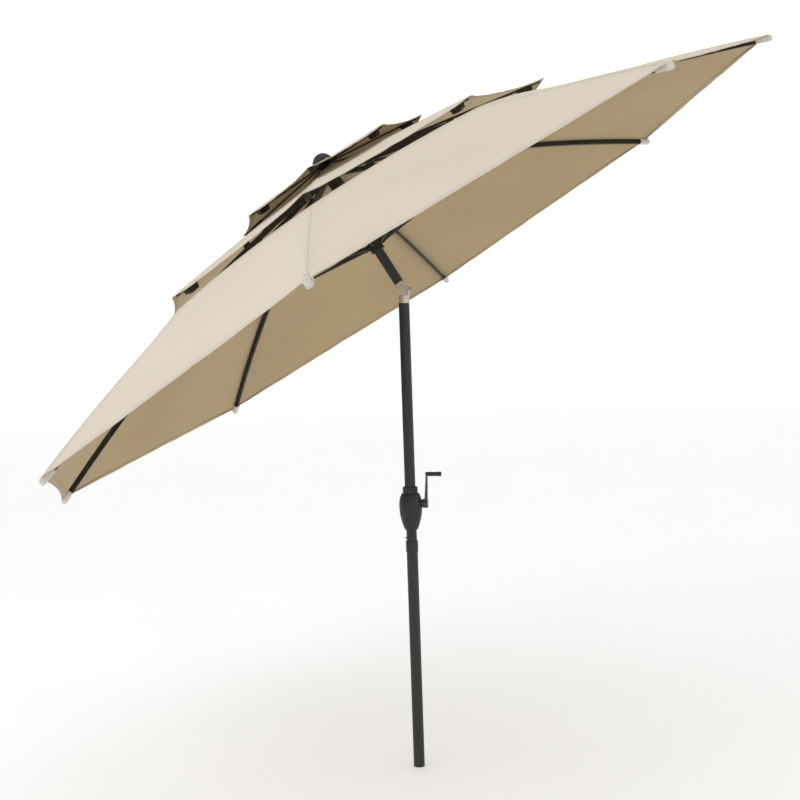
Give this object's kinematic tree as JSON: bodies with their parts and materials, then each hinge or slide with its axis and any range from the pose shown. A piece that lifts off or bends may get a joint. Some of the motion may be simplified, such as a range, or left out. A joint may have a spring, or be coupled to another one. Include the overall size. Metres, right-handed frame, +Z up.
{
  "type": "market patio umbrella",
  "caption": "Three-tier eight-rib patio umbrella on a crank pole, canopy tilted at a push-button knuckle, without a base.",
  "frame": {"origin": "centre of the pole's lower end, where a base's socket holds it", "axes": "+Z up the pole; the canopy tilts towards -X; +X is the crank's side"},
  "size_m": [2.3512, 2.742, 2.3125],
  "materials": {
    "pole_paint": "satin powder coat on aluminium, near black",
    "frame_paint": "satin powder coat on aluminium, dark bronze black",
    "black_plastic": "moulded, fine grain",
    "crank_metal": "satin",
    "knuckle_silver": "die cast, lightly polished",
    "button_plastic": "gloss",
    "steel": "zinc plated",
    "cord": "braided polyester",
    "canopy_cloth": "woven polyester, cream"
  },
  "bodies": {
    "pole_base": {"lower_pole": "pole_paint", "foot_plug": "black_plastic", "stub_tube": "pole_paint", "joint_bush": "black_plastic", "mid_pole": "pole_paint", "crank_housing_right": "black_plastic", "crank_housing_left": "black_plastic", "housing_screws": "steel", "crank_bush": "black_plastic", "knuckle_base": "knuckle_silver", "knuckle_screw": "steel", "pivot_pin": "steel", "snap_spring": "steel", "tilt_spring": "steel"},
    "tilt_head": {"knuckle_tongue": "knuckle_silver", "upper_pole": "pole_paint", "crown": "frame_paint", "head_hinge_pins": "steel", "tier_hub": "frame_paint", "pulley_pin": "steel", "finial": "black_plastic", "hoist_cord": "cord", "main_canopy": "canopy_cloth", "tier2_canopy": "canopy_cloth", "tier3_canopy": "canopy_cloth"},
    "runner": {"runner": "frame_paint", "runner_pins": "steel"},
    "crank": {"crank_shaft": "steel", "cord_spool": "black_plastic", "crank_arm": "crank_metal", "arm_screw": "steel", "grip_pin": "steel"},
    "grip": {"crank_grip": "black_plastic"},
    "snap_button": {"snap_button": "steel"},
    "tilt_button": {"tilt_button": "button_plastic"},
    "pulley": {"pulley": "black_plastic"},
    "rib_1": {"rib_1": "frame_paint"},
    "strut_1": {"strut_1": "frame_paint"},
    "tier3_arm_1": {"tier3_arm_1": "frame_paint"},
    "rib_2": {"rib_2": "frame_paint"},
    "strut_2": {"strut_2": "frame_paint"},
    "tier3_arm_2": {"tier3_arm_2": "frame_paint"},
    "rib_3": {"rib_3": "frame_paint"},
    "strut_3": {"strut_3": "frame_paint"},
    "tier3_arm_3": {"tier3_arm_3": "frame_paint"},
    "rib_4": {"rib_4": "frame_paint"},
    "strut_4": {"strut_4": "frame_paint"},
    "tier3_arm_4": {"tier3_arm_4": "frame_paint"},
    "rib_5": {"rib_5": "frame_paint"},
    "strut_5": {"strut_5": "frame_paint"},
    "tier3_arm_5": {"tier3_arm_5": "frame_paint"},
    "rib_6": {"rib_6": "frame_paint"},
    "strut_6": {"strut_6": "frame_paint"},
    "tier3_arm_6": {"tier3_arm_6": "frame_paint"},
    "rib_7": {"rib_7": "frame_paint"},
    "strut_7": {"strut_7": "frame_paint"},
    "tier3_arm_7": {"tier3_arm_7": "frame_paint"},
    "rib_8": {"rib_8": "frame_paint"},
    "strut_8": {"strut_8": "frame_paint"},
    "tier3_arm_8": {"tier3_arm_8": "frame_paint"}
  },
  "joints": [
    {"name": "tilt", "type": "hinge", "parent": "pole_base", "child": "tilt_head", "pos_m": [0, 0, 1.573], "axis": [0, 1, 0], "range_deg": [0, 31], "deforming": ["hoist_cord"]},
    {"name": "runner_slide", "type": "slide", "parent": "tilt_head", "child": "runner", "axis": [-0.515, 0, 0.8572], "range_m": [-0.1, 0], "deforming": ["main_canopy", "tier2_canopy", "tier3_canopy", "hoist_cord"]},
    {"name": "crank_turn", "type": "hinge", "parent": "pole_base", "child": "crank", "pos_m": [0, 0, 0.878], "axis": [1, 0, 0], "range_deg": [0, 546]},
    {"name": "grip_spin", "type": "hinge", "parent": "crank", "child": "grip", "pos_m": [0.06, 0, 0.974], "axis": [1, 0, 0], "continuous": true},
    {"name": "pulley_turn", "type": "hinge", "parent": "tilt_head", "child": "pulley", "pos_m": [-0.20111, 0.00536, 1.93281], "axis": [-0.328, 0.9239, -0.1971], "range_deg": [0, 546]},
    {"name": "snap_press", "type": "slide", "parent": "pole_base", "child": "snap_button", "axis": [1, 0, 0], "range_m": [0, 0.0064], "stiffness_N_per_m": 300, "springref_m": -0.003, "deforming": ["snap_spring"]},
    {"name": "tilt_press", "type": "slide", "parent": "pole_base", "child": "tilt_button", "axis": [-1, 0, 0], "range_m": [0, 0.003], "stiffness_N_per_m": 400, "springref_m": -0.003, "deforming": ["tilt_spring"]},
    {"name": "rib_fold_1", "type": "hinge", "parent": "tilt_head", "child": "rib_1", "pos_m": [-0.19507, 0, 1.95978], "axis": [0, 1, 0], "range_deg": [0, 3.8]},
    {"name": "strut_fold_1", "type": "hinge", "parent": "runner", "child": "strut_1", "pos_m": [-0.0603, 0, 1.73743], "axis": [0, 1, 0], "range_deg": [-5.75, 0]},
    {"name": "tier3_fold_1", "type": "hinge", "parent": "tilt_head", "child": "tier3_arm_1", "pos_m": [-0.22356, 0, 1.99166], "axis": [0, 1, 0], "range_deg": [0, 3.8]},
    {"name": "rib_fold_2", "type": "hinge", "parent": "tilt_head", "child": "rib_2", "pos_m": [-0.2031, 0.02263, 1.95495], "axis": [-0.6061, 0.7071, -0.3642], "range_deg": [0, 3.8]},
    {"name": "strut_fold_2", "type": "hinge", "parent": "runner", "child": "strut_2", "pos_m": [-0.06858, 0.02334, 1.73245], "axis": [-0.6061, 0.7071, -0.3642], "range_deg": [-5.75, 0]},
    {"name": "tier3_fold_2", "type": "hinge", "parent": "tilt_head", "child": "tier3_arm_2", "pos_m": [-0.22958, 0.01697, 1.98804], "axis": [-0.6061, 0.7071, -0.3642], "range_deg": [0, 3.8]},
    {"name": "rib_fold_3", "type": "hinge", "parent": "tilt_head", "child": "rib_3", "pos_m": [-0.2225, 0.032, 1.9433], "axis": [-0.8572, 0, -0.515], "range_deg": [0, 3.8]},
    {"name": "strut_fold_3", "type": "hinge", "parent": "runner", "child": "strut_3", "pos_m": [-0.08859, 0.033, 1.72043], "axis": [-0.8572, 0, -0.515], "range_deg": [-5.75, 0]},
    {"name": "tier3_fold_3", "type": "hinge", "parent": "tilt_head", "child": "tier3_arm_3", "pos_m": [-0.24413, 0.024, 1.9793], "axis": [-0.8572, 0, -0.515], "range_deg": [0, 3.8]},
    {"name": "rib_fold_4", "type": "hinge", "parent": "tilt_head", "child": "rib_4", "pos_m": [-0.24189, 0.02263, 1.93164], "axis": [-0.6061, -0.7071, -0.3642], "range_deg": [0, 3.8]},
    {"name": "strut_fold_4", "type": "hinge", "parent": "runner", "child": "strut_4", "pos_m": [-0.10859, 0.02334, 1.70842], "axis": [-0.6061, -0.7071, -0.3642], "range_deg": [-5.75, 0]},
    {"name": "tier3_fold_4", "type": "hinge", "parent": "tilt_head", "child": "tier3_arm_4", "pos_m": [-0.25867, 0.01697, 1.97056], "axis": [-0.6061, -0.7071, -0.3642], "range_deg": [0, 3.8]},
    {"name": "rib_fold_5", "type": "hinge", "parent": "tilt_head", "child": "rib_5", "pos_m": [-0.24993, 0, 1.92681], "axis": [0, -1, 0], "range_deg": [0, 3.8]},
    {"name": "strut_fold_5", "type": "hinge", "parent": "runner", "child": "strut_5", "pos_m": [-0.11687, 0, 1.70344], "axis": [0, -1, 0], "range_deg": [-5.75, 0]},
    {"name": "tier3_fold_5", "type": "hinge", "parent": "tilt_head", "child": "tier3_arm_5", "pos_m": [-0.2647, 0, 1.96694], "axis": [0, -1, 0], "range_deg": [0, 3.8]},
    {"name": "rib_fold_6", "type": "hinge", "parent": "tilt_head", "child": "rib_6", "pos_m": [-0.24189, -0.02263, 1.93164], "axis": [0.6061, -0.7071, 0.3642], "range_deg": [0, 3.8]},
    {"name": "strut_fold_6", "type": "hinge", "parent": "runner", "child": "strut_6", "pos_m": [-0.10859, -0.02334, 1.70842], "axis": [0.6061, -0.7071, 0.3642], "range_deg": [-5.75, 0]},
    {"name": "tier3_fold_6", "type": "hinge", "parent": "tilt_head", "child": "tier3_arm_6", "pos_m": [-0.25867, -0.01697, 1.97056], "axis": [0.6061, -0.7071, 0.3642], "range_deg": [0, 3.8]},
    {"name": "rib_fold_7", "type": "hinge", "parent": "tilt_head", "child": "rib_7", "pos_m": [-0.2225, -0.032, 1.9433], "axis": [0.8572, 0, 0.515], "range_deg": [0, 3.8]},
    {"name": "strut_fold_7", "type": "hinge", "parent": "runner", "child": "strut_7", "pos_m": [-0.08859, -0.033, 1.72043], "axis": [0.8572, 0, 0.515], "range_deg": [-5.75, 0]},
    {"name": "tier3_fold_7", "type": "hinge", "parent": "tilt_head", "child": "tier3_arm_7", "pos_m": [-0.24413, -0.024, 1.9793], "axis": [0.8572, 0, 0.515], "range_deg": [0, 3.8]},
    {"name": "rib_fold_8", "type": "hinge", "parent": "tilt_head", "child": "rib_8", "pos_m": [-0.2031, -0.02263, 1.95495], "axis": [0.6061, 0.7071, 0.3642], "range_deg": [0, 3.8]},
    {"name": "strut_fold_8", "type": "hinge", "parent": "runner", "child": "strut_8", "pos_m": [-0.06858, -0.02334, 1.73245], "axis": [0.6061, 0.7071, 0.3642], "range_deg": [-5.75, 0]},
    {"name": "tier3_fold_8", "type": "hinge", "parent": "tilt_head", "child": "tier3_arm_8", "pos_m": [-0.22958, -0.01697, 1.98804], "axis": [0.6061, 0.7071, 0.3642], "range_deg": [0, 3.8]}
  ],
  "couplings": [
    {"joint": "crank_turn", "follows": "runner_slide", "rad_per_m": -95.238},
    {"joint": "pulley_turn", "follows": "runner_slide", "rad_per_m": -95.238},
    {"joint": "rib_fold_1", "follows": "runner_slide", "rad_per_m": -0.65848},
    {"joint": "strut_fold_1", "follows": "runner_slide", "rad_per_m": 0.99891},
    {"joint": "tier3_fold_1", "follows": "runner_slide", "rad_per_m": -0.65848},
    {"joint": "rib_fold_2", "follows": "runner_slide", "rad_per_m": -0.65848},
    {"joint": "strut_fold_2", "follows": "runner_slide", "rad_per_m": 0.99891},
    {"joint": "tier3_fold_2", "follows": "runner_slide", "rad_per_m": -0.65848},
    {"joint": "rib_fold_3", "follows": "runner_slide", "rad_per_m": -0.65848},
    {"joint": "strut_fold_3", "follows": "runner_slide", "rad_per_m": 0.99891},
    {"joint": "tier3_fold_3", "follows": "runner_slide", "rad_per_m": -0.65848},
    {"joint": "rib_fold_4", "follows": "runner_slide", "rad_per_m": -0.65848},
    {"joint": "strut_fold_4", "follows": "runner_slide", "rad_per_m": 0.99891},
    {"joint": "tier3_fold_4", "follows": "runner_slide", "rad_per_m": -0.65848},
    {"joint": "rib_fold_5", "follows": "runner_slide", "rad_per_m": -0.65848},
    {"joint": "strut_fold_5", "follows": "runner_slide", "rad_per_m": 0.99891},
    {"joint": "tier3_fold_5", "follows": "runner_slide", "rad_per_m": -0.65848},
    {"joint": "rib_fold_6", "follows": "runner_slide", "rad_per_m": -0.65848},
    {"joint": "strut_fold_6", "follows": "runner_slide", "rad_per_m": 0.99891},
    {"joint": "tier3_fold_6", "follows": "runner_slide", "rad_per_m": -0.65848},
    {"joint": "rib_fold_7", "follows": "runner_slide", "rad_per_m": -0.65848},
    {"joint": "strut_fold_7", "follows": "runner_slide", "rad_per_m": 0.99891},
    {"joint": "tier3_fold_7", "follows": "runner_slide", "rad_per_m": -0.65848},
    {"joint": "rib_fold_8", "follows": "runner_slide", "rad_per_m": -0.65848},
    {"joint": "strut_fold_8", "follows": "runner_slide", "rad_per_m": 0.99891},
    {"joint": "tier3_fold_8", "follows": "runner_slide", "rad_per_m": -0.65848}
  ]
}
